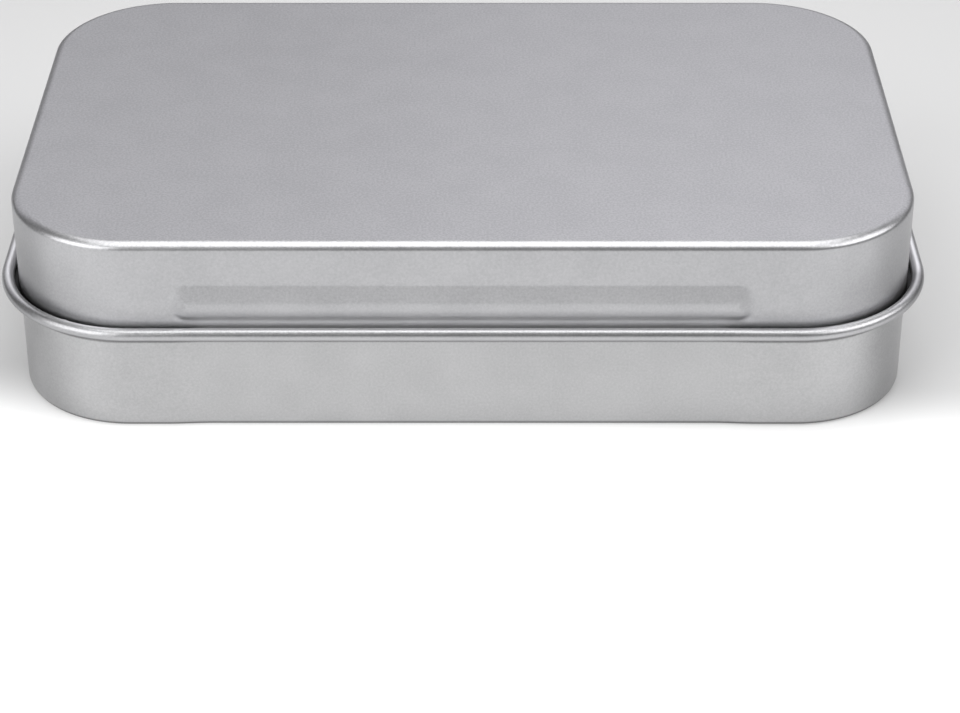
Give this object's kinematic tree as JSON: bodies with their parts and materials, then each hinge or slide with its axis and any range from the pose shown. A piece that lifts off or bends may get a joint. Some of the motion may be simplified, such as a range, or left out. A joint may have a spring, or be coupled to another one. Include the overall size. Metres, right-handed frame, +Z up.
{
  "type": "metal tin box",
  "caption": "Shut blank tinplate box with rounded corners, a lid with a stamped front rib and a curled edge, and a plain tray.",
  "frame": {"origin": "centre of the footprint, on the surface that the box stands on", "axes": "+X along the long sides, +Y from the front with the rib to the back, +Z up"},
  "size_m": [0.0952, 0.0622, 0.0212],
  "materials": {
    "lid_tinplate": "satin silver tinplate with a fine grain, bright along its rounded edges",
    "tray_tinplate": "satin silver tinplate, plain"
  },
  "bodies": {
    "root": {"lid": "lid_tinplate", "tray": "tray_tinplate"}
  },
  "joints": []
}
